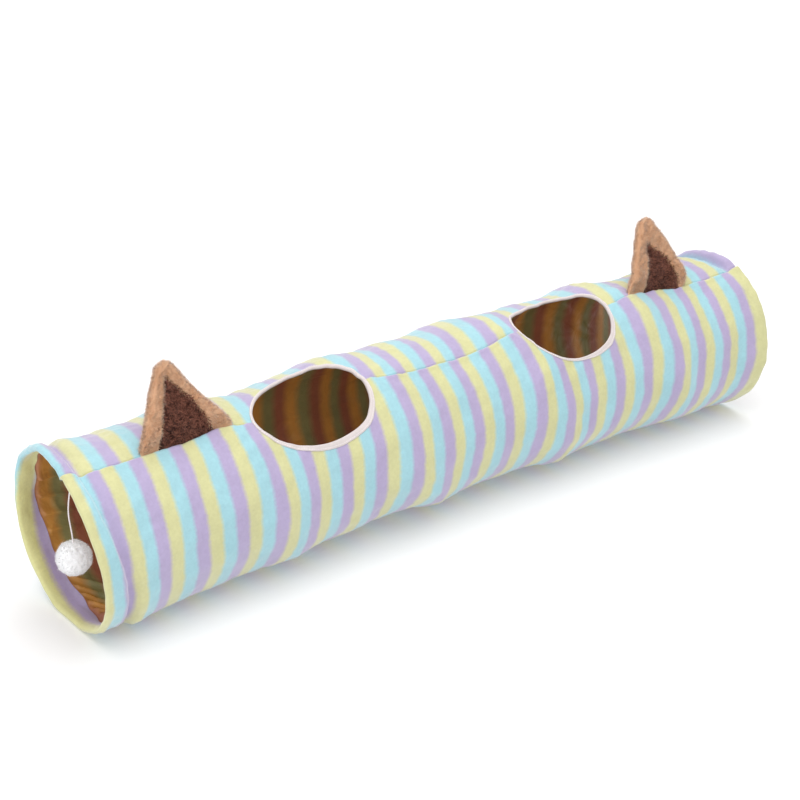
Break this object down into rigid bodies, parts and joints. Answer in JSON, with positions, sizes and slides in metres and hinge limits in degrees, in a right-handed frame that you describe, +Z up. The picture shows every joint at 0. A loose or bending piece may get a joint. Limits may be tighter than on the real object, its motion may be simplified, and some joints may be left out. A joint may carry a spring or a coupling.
{
  "type": "straight cat tunnel",
  "caption": "Straight striped plush tunnel for a cat, held open by a sewn-in spiral, with bound openings in the top, plush ears beside the mouths and a hanging pompom.",
  "frame": {"origin": "on the floor under the middle of the tunnel's box, without the pompom and its string", "axes": "+X along the tunnel, from the mouth with the pompom to the other; -Y is the side that the holes and ears face; +Z up"},
  "size_m": [1.2157, 0.2633, 0.3417],
  "materials": {
    "striped_plush": "short soft plush in rings of pale yellow, pale blue and lilac",
    "lining_film": "thin crinkled brown film with a soft shine",
    "binding_tape": "off-white folded tape with one line of stitching",
    "ear_plush": "tan plush, matt and short-haired",
    "ear_inner_plush": "dark brown plush, matt and short-haired",
    "pompom_yarn": "white cut yarn, soft and dense",
    "string": "thin white twisted string"
  },
  "bodies": {
    "root": {"tunnel_cloth": "striped_plush", "tunnel_lining": "lining_film", "hole_binding_left": "binding_tape", "hole_binding_right": "binding_tape", "ear_left_outer": "ear_plush", "ear_left_inner": "ear_inner_plush", "ear_right_outer": "ear_plush", "ear_right_inner": "ear_inner_plush", "pompom": "pompom_yarn", "pompom_string": "string"}
  },
  "joints": []
}
